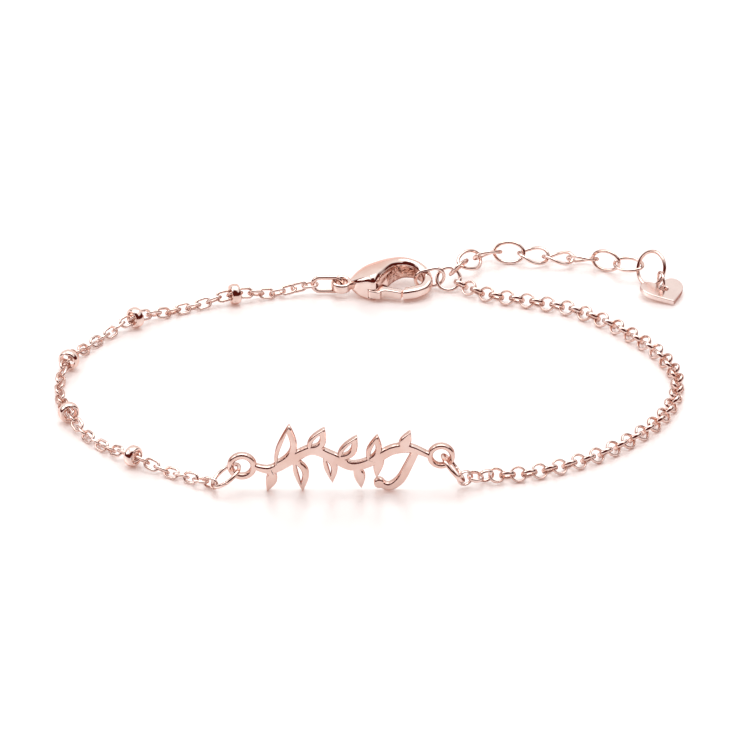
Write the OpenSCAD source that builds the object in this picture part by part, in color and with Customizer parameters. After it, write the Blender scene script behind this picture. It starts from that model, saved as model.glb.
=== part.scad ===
// Nameplate bracelet, fastened and lying on a flat surface. An openwork plate stands on edge
// at the front. A cable chain with ring beads runs round the left side, a rolo chain round the
// right side. A lobster clasp closes it at the back, beside an extender with a heart tag.
// Lengths in millimetres, +X right, +Y back, +Z up. The surface is z = 0 and the origin is the
// middle of the wrist opening on it.

/* [Nameplate] */
// Thickness of the pierced plate
plate_t = 0.8; // [0.6:0.05:1]
// Distance between the centres of the two eyelets
plate_span = 19.7; // [18:0.1:22]
// Height of the tallest leaf tip above the surface
plate_h = 7.4; // [6.6:0.1:8.4]
// Width of the stem
stem_w = 1; // [0.8:0.05:1.2]
// Width of the rim round an open leaf
leaf_rim = 0.55; // [0.45:0.05:0.65]
// Outer diameter of the left eyelet
eyelet_left_d = 2.9; // [2.6:0.1:3.2]
// Outer diameter of the right eyelet
eyelet_right_d = 2.7; // [2.5:0.1:3]
// Diameter of the hole in each eyelet
eyelet_hole_d = 1.7; // [1.5:0.05:1.9]
// Height of the left eyelet's centre
eyelet_left_z = 2.75; // [2.2:0.05:3.2]
// Height of the right eyelet's centre
eyelet_right_z = 3.9; // [3.4:0.05:4.4]

/* [Jump rings] */
// Outer diameter of the rings beside the plate
jump_d = 3.6; // [3.3:0.1:4]
// Wire of those rings
jump_wire = 0.4; // [0.3:0.02:0.5]

/* [Cable chain] */
// Outer length of a cable link
cable_l = 1.85; // [1.75:0.01:2]
// Outer width of a cable link
cable_w = 1.28; // [1.2:0.01:1.32]
// Wire of a cable link
cable_wire = 0.28; // [0.22:0.01:0.3]

/* [Ring beads] */
// Outer diameter of a ring bead
bead_d = 2.15; // [2.05:0.05:2.4]
// Hole through a ring bead
bead_hole_d = 1.52; // [1.48:0.02:1.6]
// Width of a ring bead along the chain
bead_l = 1.05; // [0.8:0.05:1.3]
// Chain length from the plate's ring to the first bead
bead_first = 9.9; // [8:0.1:12]
// Chain length from one bead to the next
bead_pitch = 11.4; // [10:0.1:12]

/* [Rolo chain] */
// Outer diameter of a rolo link
rolo_d = 1.7; // [1.6:0.02:1.9]
// Thickness of a rolo link between its inner and outer face
rolo_t = 0.22; // [0.16:0.02:0.24]
// Breadth of a rolo link along its own axis
rolo_b = 0.42; // [0.3:0.02:0.44]

/* [Clasp] */
// Length of the clasp's body without its eye
clasp_l = 8.6; // [8:0.1:9.4]
// Width of the body, from the back of its arm to the front of its nose
clasp_w = 6.4; // [6:0.1:6.8]
// Greatest thickness of the body
clasp_h = 2.2; // [2:0.05:2.4]
// Outer diameter of the eye
eye_d = 2.2; // [1.9:0.05:2.2]
// Hole through the eye
eye_hole_d = 1.1; // [1:0.05:1.2]
// Thickness of the eye
eye_t = 0.95; // [0.8:0.05:1]
// Thickness of the lever
lever_t = 0.9; // [0.7:0.05:1]
// Width of the lever's arm
lever_w = 0.9; // [0.75:0.05:1]
// Radius of the lever's hub
hub_r = 0.62; // [0.56:0.02:0.7]
// Radius of the rivet
rivet_r = 0.3; // [0.24:0.02:0.34]

/* [Rings at the clasp] */
// Outer length of the oval ring between cable chain and clasp
connector_l = 3.5; // [3.3:0.1:4]
// Outer width of that ring
connector_w = 2; // [1.95:0.05:2.2]
// Wire of that ring
connector_wire = 0.42; // [0.34:0.02:0.44]
// Outer length of the link in the hook
hook_link_l = 3.4; // [3.2:0.1:3.8]
// Outer width of the link in the hook
hook_link_w = 2.3; // [2.25:0.05:2.5]
// Wire of the link in the hook
hook_link_wire = 0.36; // [0.3:0.02:0.38]
// Outer diameter of the junction ring
junction_d = 2.8; // [2.7:0.05:3]
// Wire of the junction ring
junction_wire = 0.36; // [0.3:0.02:0.38]

/* [Extender] */
// Outer length of an extender link
ext_l = 3.5; // [3.35:0.05:3.6]
// Outer width of an extender link
ext_w = 2.5; // [2.3:0.05:2.6]
// Wire of an extender link
ext_wire = 0.34; // [0.26:0.02:0.36]
// Outer diameter of the large ring at the extender's end
end_ring_d = 4; // [3.8:0.1:4.4]
// Wire of the large ring
end_ring_wire = 0.36; // [0.3:0.02:0.4]
// Outer diameter of the small ring that holds the tag
tag_ring_d = 2.4; // [2.3:0.1:2.8]
// Wire of the small ring
tag_ring_wire = 0.26; // [0.24:0.02:0.34]

/* [Heart tag] */
// Width of the heart
heart_w = 4.6; // [4.2:0.1:5]
// Thickness of the heart
heart_t = 0.55; // [0.4:0.05:0.6]
// Hole near the heart's notch
heart_hole_d = 0.9; // [0.8:0.05:1]

/* [Clearances] */
// Gap between the wires of two linked pieces
link_gap = 0.1; // [0.06:0.01:0.12]
// Gap between lever, rivet and the slot that holds them
pivot_gap = 0.05; // [0.03:0.01:0.08]
// Gap between the closed lever and the nose
nose_gap = 0.12; // [0.08:0.02:0.2]

/* [Hidden] */
ROSE = [0.87, 0.62, 0.55];
EPS = 0.01;

// Places, measured from the origin
PLATE_AT = [-2.6, -22.55];
CLASP_END_AT = [6.6513, 21.0255, 1.17];
CLASP_YAW = 8;
CLASP_LEAN = 10;
JUNCTION_AT = [8.41, 20.96, 1.18];
JUNCTION_TURN = [-48, 0, 174];
END_RING_AT = [29.65, 21.95, 1.865];
END_RING_TURN = [66, 0, -47];
HEART_TURN = [7.5, 2.8, 23.6];
HEART_HOLE_AT = [30.865, 19.375, 0.617];
TAG_RING_AT = [30.63, 20.11, 1.2];
TAG_RING_TURN = [89, 0, -75];

// Directions in which the two jump rings hang from their eyelets, as pitch down and yaw
JUMP_LEFT_PITCH = 35;
JUMP_LEFT_YAW = 180;
JUMP_RIGHT_PITCH = 52;
JUMP_RIGHT_YAW = 10;
// Slack between a jump ring's wire and the rim of its eyelet
JUMP_SLACK = 0.3;

// Hand-chosen points of the chains, as x and y, from the plate to the clasp on the left and
// from the clasp to the plate on the right
CABLE_ROUTE = [
    [-19, -20.3], [-24, -17], [-28.6, -11.6], [-31, -5.5], [-31.2, 0.8],
    [-29, 6.6], [-24.6, 12], [-18.2, 16], [-11, 18.6]];
ROLO_ROUTE = [
    [12.2, 18.4], [16.5, 16.9], [20.8, 15.2], [24.4, 12.4], [27.3, 9], [29.9, 5],
    [31.4, 0.3], [31.2, -4.2], [29.4, -9.2], [26, -13.8], [21.8, -17.5], [16.5, -20.2],
    [12.5, -21]];
// Points where the extender's links join, as x, y and z
EXT_ROUTE = [
    [9.04, 21.41, 2.05], [9.9, 23.8, 1.38], [11.5, 25.8, 1.35], [13.6, 27.2, 1.15],
    [16.1, 27, 1.1], [18.7, 26.6, 0.9], [21.3, 26.2, 0.9], [23.84, 25.59, 1.12],
    [26.14, 24.28, 1.45], [28.54, 22.96, 1.57]];
// Roll of each extender link about its run, and the twist from its middle to its ends
EXT_LAY = [
    [130, 3], [34, 18], [-34, 14], [62, 8], [16, 34], [-3, 34], [-33, 16], [87, 4], [11, -3]];

// Number of sides of round sections, stations of bent ones, and steps of curves
LINK_SIDES = 6;
LINK_STATIONS = 16;
CLASP_SIDES = 14;
CLASP_STEPS = 3;
ROUTE_STEPS = 24;
LEAF_STEPS = 12;
STEM_STEPS = 5;
HEART_STEPS = 48;

// Distances that follow from the sizes above
jump_reach = jump_d - jump_wire;
cable_pitch = cable_l - 2 * cable_wire - link_gap;
// Gaps that the flat wire of two square rolo links needs between them
ROLO_GAPS = 1.3;
rolo_pitch = rolo_d - 2 * rolo_t - ROLO_GAPS * link_gap;
cable_play = cable_l - cable_wire - cable_pitch;
rolo_play = rolo_d - rolo_t - rolo_pitch;
eyelet_left = [-plate_span / 2, eyelet_left_z];
eyelet_right = [plate_span / 2, eyelet_right_z];

function unit(v) = v / norm(v);
function flat(p) = [p.x, p.y];
function ease(t) = t <= 0 ? 0 : t >= 1 ? 1 : (1 - cos(180 * t)) / 2;
function aside(angle) = [cos(angle), sin(angle)];
// Direction of the x axis after a pitch down and a yaw
function aim(pitch, yaw) = [cos(pitch) * cos(yaw), cos(pitch) * sin(yaw), -sin(pitch)];
// Point at share t between b and c of a smooth curve through a, b, c and d
function curve(a, b, c, d, t) =
    b + (c - a) * t / 2 + (2 * a - 5 * b + 4 * c - d) * t * t / 2
    + (3 * b - a - 3 * c + d) * t * t * t / 2;
// Smooth path through points, with a number of steps between each two
function smooth(pts, steps) = concat(
    [for (i = [0 : len(pts) - 2]) for (k = [0 : steps - 1])
        curve(pts[max(i - 1, 0)], pts[i], pts[i + 1], pts[min(i + 2, len(pts) - 1)], k / steps)],
    [pts[len(pts) - 1]]);
// Length along a path up to each of its points
function lengths(path) = [for (i = 0, s = 0; i < len(path);
    s = s + (i + 1 < len(path) ? norm(path[i + 1] - path[i]) : 0), i = i + 1) s];
// Point of a path at length s, where run holds the lengths
function at(path, run, s) = let(
    i = min(len([for (r = run) if (r <= s) r]), len(path) - 1),
    t = (s - run[i - 1]) / (run[i] - run[i - 1]))
    path[i - 1] + t * (path[i] - path[i - 1]);

// Wires of the two jump rings, in the eyelet and at the far end
function eyelet_at(e) = [PLATE_AT.x + e.x, PLATE_AT.y, e.y];
jump_seat = eyelet_hole_d / 2 - jump_wire / 2 - JUMP_SLACK;
jump_left_dir = aim(JUMP_LEFT_PITCH, JUMP_LEFT_YAW);
jump_right_dir = aim(JUMP_RIGHT_PITCH, JUMP_RIGHT_YAW);
jump_left_near = eyelet_at(eyelet_left) + jump_seat * jump_left_dir;
jump_right_near = eyelet_at(eyelet_right) + jump_seat * jump_right_dir;
jump_left_far = jump_left_near + jump_reach * jump_left_dir;
jump_right_far = jump_right_near + jump_reach * jump_right_dir;

// Point of the clasp, given in its own axes, in the bracelet's axes
function turned(p, a) = let(
    y = p.y * cos(a.x) - p.z * sin(a.x),
    z = p.y * sin(a.x) + p.z * cos(a.x))
    [p.x * cos(a.z) - y * sin(a.z), p.x * sin(a.z) + y * cos(a.z), z];
CLASP_TURN = [CLASP_LEAN, 0, CLASP_YAW];
// The clasp's eye lies this share of its diameter before the body, and the body reaches to the
// clasp's far end, beside the junction ring
NECK_X = 0.42;
CLASP_AT = CLASP_END_AT - turned([NECK_X * eye_d + clasp_l, 0, 0], CLASP_TURN);
function in_clasp(p) = CLASP_AT + turned(p, CLASP_TURN);

// The oval ring runs from inside the eye towards the cable chain
CONNECTOR_SEAT = 0.05;
connector_near = CLASP_AT + [CONNECTOR_SEAT, 0, 0];
connector_far = connector_near - [connector_l - connector_wire, 0, 0];

// The junction ring's wire where the rolo chain starts
junction_r = (junction_d - junction_wire) / 2;
ROLO_START_ANGLE = -202;
junction_out = JUNCTION_AT + turned(
    junction_r * [cos(ROLO_START_ANGLE), sin(ROLO_START_ANGLE), 0], JUNCTION_TURN);

// End joints of a chain: where its first or last link meets a ring of another wire
END_GAPS = 1.5;
function joint_by(ring, toward, ring_wire, wire, play) =
    ring - ((ring_wire + wire) / 2 + END_GAPS * link_gap - play / 2) * unit(toward - flat(ring));
cable_path = smooth(concat(
    [joint_by(flat(jump_left_far), CABLE_ROUTE[0], jump_wire, cable_wire, cable_play)],
    CABLE_ROUTE,
    [joint_by(flat(connector_far), CABLE_ROUTE[len(CABLE_ROUTE) - 1],
        connector_wire, cable_wire, cable_play)]), ROUTE_STEPS);
cable_run = lengths(cable_path);
cable_total = cable_run[len(cable_run) - 1];
cable_n = 2 * ceil(cable_total / cable_pitch / 2);
cable_step = cable_total / cable_n;

rolo_path = smooth(concat(
    [joint_by(flat(junction_out), ROLO_ROUTE[0], junction_wire, rolo_t, rolo_play)],
    ROLO_ROUTE,
    [joint_by(flat(jump_right_far), ROLO_ROUTE[len(ROLO_ROUTE) - 1],
        jump_wire, rolo_t, rolo_play)]), ROUTE_STEPS);
rolo_run = lengths(rolo_path);
rolo_total = rolo_run[len(rolo_run) - 1];
rolo_n = 2 * ceil(rolo_total / rolo_pitch / 2);
rolo_step = rolo_total / rolo_n;

// Links next to a bead or to an end rise over this many links
BEAD_RAMP = 3.2;
END_RAMP = 4;
// A chain's links lie at this angle to the surface, and turn square to it towards its ends
LAY = 45;
TURN_LINKS = 5;
function cable_lay(i) = LAY * ease(min(i, cable_n - i) / TURN_LINKS);
function rolo_lay(i) = LAY * ease((rolo_n - i) / TURN_LINKS);
function cable_rest(i) =
    (cable_w - cable_wire) / 2 * cos(cable_lay(i)) + cable_wire / 2;
function rolo_rest(i) = let(o = rolo_lay(i))
    (rolo_d - rolo_t) / 2 * cos(o) + rolo_t / 2 + (rolo_b - rolo_t) / 2 * sin(o);
// Which link carries each bead
bead_link = [for (k = [0 : 4]) round((bead_first + k * bead_pitch) / cable_step - 0.5)];
function bead_rise(i) =
    max([for (b = bead_link) ease(1 - (abs(i - b - 0.5) - 0.5) / BEAD_RAMP)]);
function mix(a, b, t) = a + (b - a) * t;
function cable_z(i) = let(
    z = mix(cable_rest(i), bead_d / 2, bead_rise(i)),
    a = ease(1 - i / END_RAMP),
    b = ease(1 - (cable_n - i) / END_RAMP))
    mix(mix(z, jump_left_far.z, a), connector_far.z, b);
function rolo_z(i) = let(
    a = ease(1 - i / END_RAMP),
    b = ease(1 - (rolo_n - i) / END_RAMP))
    mix(mix(rolo_rest(i), max(junction_out.z, rolo_d / 2 - link_gap), a), jump_right_far.z, b);
function on_path(path, run, s, z) = let(p = at(path, run, s)) [p.x, p.y, z];
cable_joint = [for (i = [0 : cable_n])
    on_path(cable_path, cable_run, min(i * cable_step, cable_total - EPS / 10), cable_z(i))];
rolo_joint = [for (i = [0 : rolo_n])
    on_path(rolo_path, rolo_run, min(i * rolo_step, rolo_total - EPS / 10), rolo_z(i))];

// Moves a piece drawn along x at the origin to the middle between two points
module between(a, b, roll) {
    d = b - a;
    translate((a + b) / 2)
        rotate([roll, -asin(d.z / norm(d)), atan2(d.y, d.x)])
            children();
}

// Ring of round wire lying in the xy plane
module wire_ring(outer_d, wire) {
    rotate_extrude()
        translate([(outer_d - wire) / 2, 0])
            circle(d = wire);
}

// Link of round wire with straight sides, long along x, lying in the xy plane
module oval_link(l, w, wire) {
    r = (w - wire) / 2;
    straight = l - w;
    for (side = [-1, 1]) {
        translate([side * straight / 2, 0, 0])
            rotate([0, 0, -90 * side])
                rotate_extrude(angle = 180)
                    translate([r, 0])
                        circle(d = wire);
        translate([-straight / 2, side * r, 0])
            rotate([0, 90, 0])
                cylinder(h = straight, d = wire);
    }
}

// Ring of flat wire with rounded edges, lying in the xy plane
module band_ring(outer_d, t, b) {
    rotate_extrude()
        translate([(outer_d - t) / 2, 0]) {
            square([t, b - t], center = true);
            for (side = [-1, 1])
                translate([0, side * (b - t) / 2])
                    circle(d = t);
        }
}

// Triangles of a tube, where rings holds the points of each of its sections
function tube_faces(n, m, closed) = [
    for (i = [0 : n - (closed ? 1 : 2)]) for (j = [0 : m - 1])
        let(a = i * m + j, b = i * m + (j + 1) % m,
            c = ((i + 1) % n) * m + (j + 1) % m, d = ((i + 1) % n) * m + j)
        each [[a, b, c], [a, c, d]]];
function cap_faces(n, m) = concat(
    [for (j = [1 : m - 2]) [0, j + 1, j]],
    [for (j = [1 : m - 2]) [(n - 1) * m, (n - 1) * m + j, (n - 1) * m + j + 1]]);
module tube(rings, closed) {
    n = len(rings);
    m = len(rings[0]);
    polyhedron(
        points = [for (ring = rings) each ring],
        faces = concat(tube_faces(n, m, closed), closed ? [] : cap_faces(n, m)));
}

// Twisted oval link: an ellipse whose plane turns about x towards both ends
function twisted(th, twist) = let(
    a = (ext_l - ext_wire) / 2, b = (ext_w - ext_wire) / 2, turn = twist * cos(th))
    [a * cos(th), b * sin(th) * cos(turn), b * sin(th) * sin(turn)];
module twisted_link(twist) {
    step = 360 / LINK_STATIONS;
    tube([for (k = [0 : LINK_STATIONS - 1]) let(
            th = k * step,
            turn = twist * cos(th),
            run = unit(twisted(th + 1, twist) - twisted(th - 1, twist)),
            u = unit(cross([0, -sin(turn), cos(turn)], run)),
            v = cross(run, u))
        [for (j = [0 : LINK_SIDES - 1])
            twisted(th, twist) + ext_wire / 2
                * (cos(j * 360 / LINK_SIDES) * u + sin(j * 360 / LINK_SIDES) * v)]],
        true);
}

// Outline of a leaf from base to tip, bent sideways by a share of its length, and broadest
// nearer to its base as the power falls
LEAF_BELLY = 0.85;
function leaf(base, tip, w, bend) = let(
    run = tip - base,
    side = [-run.y, run.x] / norm(run),
    mid = [for (k = [0 : LEAF_STEPS]) let(t = k / LEAF_STEPS)
        base + run * t + side * bend * norm(run) * sin(180 * t)],
    half = [for (k = [0 : LEAF_STEPS]) w / 2 * sin(180 * pow(k / LEAF_STEPS, LEAF_BELLY))])
    concat(
        [for (k = [0 : LEAF_STEPS]) mid[k] + side * half[k]],
        [for (k = [LEAF_STEPS - 1 : -1 : 1]) mid[k] - side * half[k]]);
// Outline of a band of changing width along a smooth line
function band(line, half) = let(
    n = len(line),
    side = [for (i = [0 : n - 1]) let(
        run = unit(line[min(i + 1, n - 1)] - line[max(i - 1, 0)])) [-run.y, run.x]])
    concat(
        [for (i = [0 : n - 1]) line[i] + side[i] * half[i]],
        [for (i = [n - 1 : -1 : 0]) line[i] - side[i] * half[i]]);

// Shares of plate_span (x) and plate_h (y), from the middle of the plate's foot line
STEM = [
    [-0.355, 0.32], [-0.255, 0.47], [-0.152, 0.62], [-0.05, 0.52], [0.05, 0.38],
    [0.152, 0.45], [0.254, 0.62], [0.35, 0.64]];
// Leaves: base x and y, tip x and y, width (share of plate_h), bend, open or solid
LEAVES = [
    [-0.33, 0.36, -0.262, 1.00, 0.27, -0.10, true],
    [-0.17, 0.60, -0.085, 0.95, 0.22, -0.08, true],
    [-0.02, 0.47, 0.078, 0.83, 0.21, -0.08, true],
    [0.135, 0.43, 0.180, 0.84, 0.20, -0.06, true],
    [0.29, 0.64, 0.345, 0.90, 0.15, -0.06, false],
    [-0.345, 0.33, -0.375, 0.00, 0.15, 0.06, false],
    [-0.235, 0.50, -0.195, 0.00, 0.20, 0.08, true],
    [-0.085, 0.56, -0.045, 0.13, 0.18, 0.08, true],
    [0.07, 0.38, 0.100, 0.05, 0.15, 0.06, false],
    [0.21, 0.56, 0.175, 0.20, 0.13, -0.06, false]];
// Tendril: x and y of its line, and its half width as a share of stem_w
TENDRIL = [
    [0.375, 0.62, 0.36], [0.335, 0.38, 0.42], [0.295, 0.17, 0.45],
    [0.24, 0.068, 0.42], [0.19, 0.12, 0.34]];
TENDRIL_BALL = 0.55;
// Rims that lie between the tip of an open leaf and its opening
TIP_RIM = 1.6;
function on_plate(p) = [p[0] * plate_span, p[1] * plate_h];
NECK_OVERLAP = 0.3;
stem_ends = [
    eyelet_left + [eyelet_left_d / 2 - NECK_OVERLAP, 0],
    eyelet_right - [eyelet_right_d / 2 - NECK_OVERLAP, 0]];
stem_line = smooth(concat([stem_ends[0]], [for (p = STEM) on_plate(p)], [stem_ends[1]]),
    STEM_STEPS);
// The stem narrows to this share of its width at its ends, over this share of its length
STEM_END = 0.55;
STEM_TAPER = 0.17;
function stem_share(i) = min(i, len(stem_line) - 1 - i) / len(stem_line) / STEM_TAPER;
stem_half = [for (i = [0 : len(stem_line) - 1])
    stem_w / 2 * mix(STEM_END, 1, ease(stem_share(i)))];
tendril_line = smooth([for (p = TENDRIL) on_plate(p)], STEM_STEPS);
tendril_half = [for (p = smooth([for (p = TENDRIL) [p[2], 0]], STEM_STEPS)) stem_w * p[0]];

module leaf_shape(row, inner) {
    base = on_plate([row[0], row[1]]);
    tip = on_plate([row[2], row[3]]);
    run = unit(tip - base);
    start = (stem_w + leaf_rim) / 2;
    w = row[4] * plate_h;
    if (!inner)
        polygon(leaf(base, tip, w, row[5]));
    else if (row[6])
        polygon(leaf(
            base + start * run, tip - TIP_RIM * leaf_rim * run, w - 2 * leaf_rim, row[5]));
}

module nameplate() {
    color(ROSE)
        translate([PLATE_AT.x, PLATE_AT.y + plate_t / 2, 0])
            rotate([90, 0, 0])
                difference() {
                    union() {
                        linear_extrude(plate_t) {
                            polygon(band(stem_line, stem_half));
                            polygon(band(tendril_line, tendril_half));
                            for (row = LEAVES)
                                leaf_shape(row, false);
                        }
                        translate(tendril_line[len(tendril_line) - 1])
                            cylinder(h = plate_t, r = TENDRIL_BALL * stem_w);
                        translate(eyelet_left)
                            cylinder(h = plate_t, d = eyelet_left_d);
                        translate(eyelet_right)
                            cylinder(h = plate_t, d = eyelet_right_d);
                    }
                    translate([0, 0, -plate_t])
                        linear_extrude(3 * plate_t)
                            for (row = LEAVES)
                                leaf_shape(row, true);
                    for (e = [eyelet_left, eyelet_right])
                        translate([e.x, e.y, -plate_t])
                            cylinder(h = 3 * plate_t, d = eyelet_hole_d);
                }
}

module jump_ring_left() {
    color(ROSE)
        between(jump_left_near, jump_left_far, 0)
            wire_ring(jump_d, jump_wire);
}

module jump_ring_right() {
    color(ROSE)
        between(jump_right_near, jump_right_far, 0)
            wire_ring(jump_d, jump_wire);
}

module satellite_chain() {
    color(ROSE)
        for (i = [0 : cable_n - 1])
            between(cable_joint[i], cable_joint[i + 1],
                    (i % 2 == 0 ? 90 : 0) + cable_lay(i + 0.5))
                oval_link(cable_l, cable_w, cable_wire);
}

// Ring bead with a rounded outer face, its axis along x
module ring_bead() {
    t = (bead_d - bead_hole_d) / 2;
    bulge = (t * t + bead_l * bead_l / 4) / (2 * t);
    rotate([0, 90, 0])
        rotate_extrude()
            intersection() {
                translate([bead_d / 2 - bulge, 0])
                    circle(r = bulge);
                translate([bead_hole_d / 2, -bead_l])
                    square([t + bulge, 2 * bead_l]);
            }
}

module satellite_bead(k) {
    i = bead_link[k - 1];
    color(ROSE)
        between(cable_joint[i], cable_joint[i + 1], 0)
            ring_bead();
}

module clasp_connector_ring() {
    color(ROSE)
        translate(connector_near - [(connector_l - connector_wire) / 2, 0, 0])
            rotate([90, 0, 0])
                oval_link(connector_l, connector_w, connector_wire);
}

// Sections of the clasp's body from the eye round to the nose: x and y of its outer edge, x and
// y of its inner edge, half height; x in shares of clasp_l, y of clasp_w, heights of clasp_h
CLASP_SECTIONS = [
    [0.000, 0.078, 0.000, -0.078, 0.21], [0.060, 0.180, 0.065, -0.195, 0.355],
    [0.135, 0.303, 0.165, -0.325, 0.45], [0.240, 0.422, 0.270, -0.415, 0.50],
    [0.355, 0.495, 0.358, -0.345, 0.50], [0.460, 0.532, 0.455, -0.055, 0.485],
    [0.565, 0.541, 0.545, 0.117, 0.465], [0.670, 0.526, 0.655, 0.195, 0.435],
    [0.775, 0.475, 0.745, 0.180, 0.40], [0.880, 0.367, 0.815, 0.117, 0.36],
    [0.962, 0.205, 0.860, 0.023, 0.32], [1.003, 0.016, 0.875, -0.055, 0.295],
    [0.990, -0.172, 0.865, -0.133, 0.29], [0.920, -0.328, 0.825, -0.203, 0.30],
    [0.800, -0.422, 0.760, -0.250, 0.32], [0.670, -0.458, 0.670, -0.273, 0.32],
    [0.570, -0.466, 0.570, -0.278, 0.31]];
function clasp_point(x, y) = [NECK_X * eye_d + x * clasp_l, y * clasp_w];
PIVOT = clasp_point(0.25, -0.156);
LEVER_TIP_SHARE = 0.4;
lever_r = LEVER_TIP_SHARE * clasp_l;
LEVER_ANGLE = -26;
LEVER_OPEN = 24;
// The lever's arm as x in shares of lever_r and y in shares of lever_w, from the hub outwards
LEVER_ARM = [[0, 0.6], [0.35, 0.5], [1.3, 0.5], [1.3, -0.5], [0.6, -0.6], [0, -0.6]];
// Sizes of the thumb nub and the rivet
NUB_ANGLE = -73;
NUB_REACH = 0.32;
NUB_BREADTH = 0.7;
RIVET_REACH = 0.84;
nub_r = NUB_REACH * clasp_w;
nub_w = NUB_BREADTH * lever_w;
rivet_h = RIVET_REACH * clasp_h;
slot_h = lever_t + 2 * pivot_gap;
// Angles past the nub and past the open lever where the slot's flanks run out
SLOT_BACK = 40;
SLOT_FRONT = 16;
// Corner and breadth of the zone where the nose is cut round the lever's tip
NOSE_ZONE = [0.5, -0.62];
NOSE_ZONE_W = 0.45;

module clasp_form() {
    line = smooth(CLASP_SECTIONS, CLASP_STEPS);
    tube([for (p = line) let(
            outer = clasp_point(p[0], p[1]),
            inner = clasp_point(p[2], p[3]),
            mid = (outer + inner) / 2)
        [for (j = [0 : CLASP_SIDES - 1]) let(
                a = j * 360 / CLASP_SIDES,
                q = mid + (inner - mid) * cos(a))
            [q.x, q.y, p[4] * clasp_h * sin(a)]]],
        false);
}

// Space that the lever sweeps inside the body, with a gap all round
module lever_slot() {
    reach = hub_r + pivot_gap;
    open = LEVER_ANGLE + LEVER_OPEN;
    translate([PIVOT.x, PIVOT.y, -slot_h / 2]) {
        cylinder(h = slot_h, r = reach);
        linear_extrude(slot_h)
            polygon([
                reach * aside(NUB_ANGLE - 90),
                lever_r * aside(NUB_ANGLE - SLOT_BACK),
                lever_r * aside(LEVER_ANGLE),
                lever_r * aside(open + SLOT_FRONT),
                reach * aside(open + 90)]);
    }
}

module clasp_body() {
    nose_from = clasp_point(NOSE_ZONE.x, NOSE_ZONE.y);
    color(ROSE)
        translate(CLASP_AT)
            rotate(CLASP_TURN)
                difference() {
                    union() {
                        clasp_form();
                        band_ring(eye_d, (eye_d - eye_hole_d) / 2, eye_t);
                    }
                    translate([0, 0, -clasp_h])
                        cylinder(h = 2 * clasp_h, d = eye_hole_d);
                    lever_slot();
                    translate([PIVOT.x, PIVOT.y, -clasp_h])
                        cylinder(h = 2 * clasp_h, r = rivet_r + pivot_gap / 2);
                    intersection() {
                        translate([PIVOT.x, PIVOT.y, -clasp_h])
                            cylinder(h = 2 * clasp_h, r = lever_r + nose_gap);
                        translate([nose_from.x, nose_from.y, -clasp_h])
                            cube([clasp_l / 2, NOSE_ZONE_W * clasp_w, 2 * clasp_h]);
                    }
                }
}

module clasp_lever() {
    color(ROSE)
        translate(CLASP_AT)
            rotate(CLASP_TURN)
                translate([PIVOT.x, PIVOT.y, -lever_t / 2])
                    difference() {
                        intersection() {
                            union() {
                                cylinder(h = lever_t, r = hub_r);
                                rotate(LEVER_ANGLE)
                                    linear_extrude(lever_t)
                                        polygon([for (p = LEVER_ARM)
                                            [p.x * lever_r, p.y * lever_w]]);
                                rotate(NUB_ANGLE)
                                    translate([0, -nub_w / 2, 0])
                                        cube([nub_r, nub_w, lever_t]);
                            }
                            cylinder(h = lever_t, r = lever_r);
                        }
                        translate([0, 0, -lever_t])
                            cylinder(h = 3 * lever_t, r = rivet_r + pivot_gap);
                    }
}

module clasp_rivet() {
    color(ROSE)
        translate(CLASP_AT)
            rotate(CLASP_TURN)
                translate([PIVOT.x, PIVOT.y, -rivet_h / 2])
                    cylinder(h = rivet_h, r = rivet_r);
}

// The link in the hook lies round the hook's end, upright and rising away from it
HOOK_X = 0.975;
HOOK_LIFT = 0.1;
HOOK_LINK_AT = in_clasp([NECK_X * eye_d + HOOK_X * clasp_l, 0, 0]) + [0, 0, HOOK_LIFT];
HOOK_LINK_RISE = 10;
module hook_link() {
    color(ROSE)
        translate(HOOK_LINK_AT)
            rotate([90, -HOOK_LINK_RISE, CLASP_YAW])
                oval_link(hook_link_l, hook_link_w, hook_link_wire);
}

module junction_ring() {
    color(ROSE)
        translate(JUNCTION_AT)
            rotate(JUNCTION_TURN)
                wire_ring(junction_d, junction_wire);
}

module rolo_chain() {
    color(ROSE)
        for (i = [0 : rolo_n - 1])
            between(rolo_joint[i], rolo_joint[i + 1],
                    (i % 2 == 0 ? 0 : 90) - rolo_lay(i + 0.5))
                band_ring(rolo_d, rolo_t, rolo_b);
}

module extender_link(k) {
    color(ROSE)
        between(EXT_ROUTE[k - 1], EXT_ROUTE[k], EXT_LAY[k - 1][0])
            twisted_link(EXT_LAY[k - 1][1]);
}

module end_ring() {
    color(ROSE)
        translate(END_RING_AT)
            rotate(END_RING_TURN)
                wire_ring(end_ring_d, end_ring_wire);
}

module tag_ring() {
    color(ROSE)
        translate(TAG_RING_AT)
            rotate(TAG_RING_TURN)
                wire_ring(tag_ring_d, tag_ring_wire);
}

// Heart outline 32 units wide, with straight sides at its notch and tip, its hole at the origin
HEART_UNITS = 32;
HEART_HOLE_Y = 0.3;
function heart_outline() = [for (k = [0 : HEART_STEPS - 1]) let(t = k * 360 / HEART_STEPS)
    heart_w / HEART_UNITS * [HEART_UNITS / 2 * sin(t) * abs(sin(t)),
        13 * cos(t) - 5 * cos(2 * t) - 2 * cos(3 * t) - cos(4 * t) - HEART_HOLE_Y]];
module heart_tag() {
    color(ROSE)
        translate(HEART_HOLE_AT)
            rotate(HEART_TURN)
                translate([0, 0, -heart_t / 2])
                    difference() {
                        linear_extrude(heart_t)
                            polygon(heart_outline());
                        translate([0, 0, -heart_t])
                            cylinder(h = 3 * heart_t, d = heart_hole_d);
                    }
}

nameplate();
jump_ring_left();
jump_ring_right();
satellite_chain();
for (k = [1 : 5])
    satellite_bead(k);
clasp_connector_ring();
clasp_body();
clasp_lever();
clasp_rivet();
hook_link();
junction_ring();
rolo_chain();
for (k = [1 : 9])
    extender_link(k);
end_ring();
tag_ring();
heart_tag();
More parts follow.
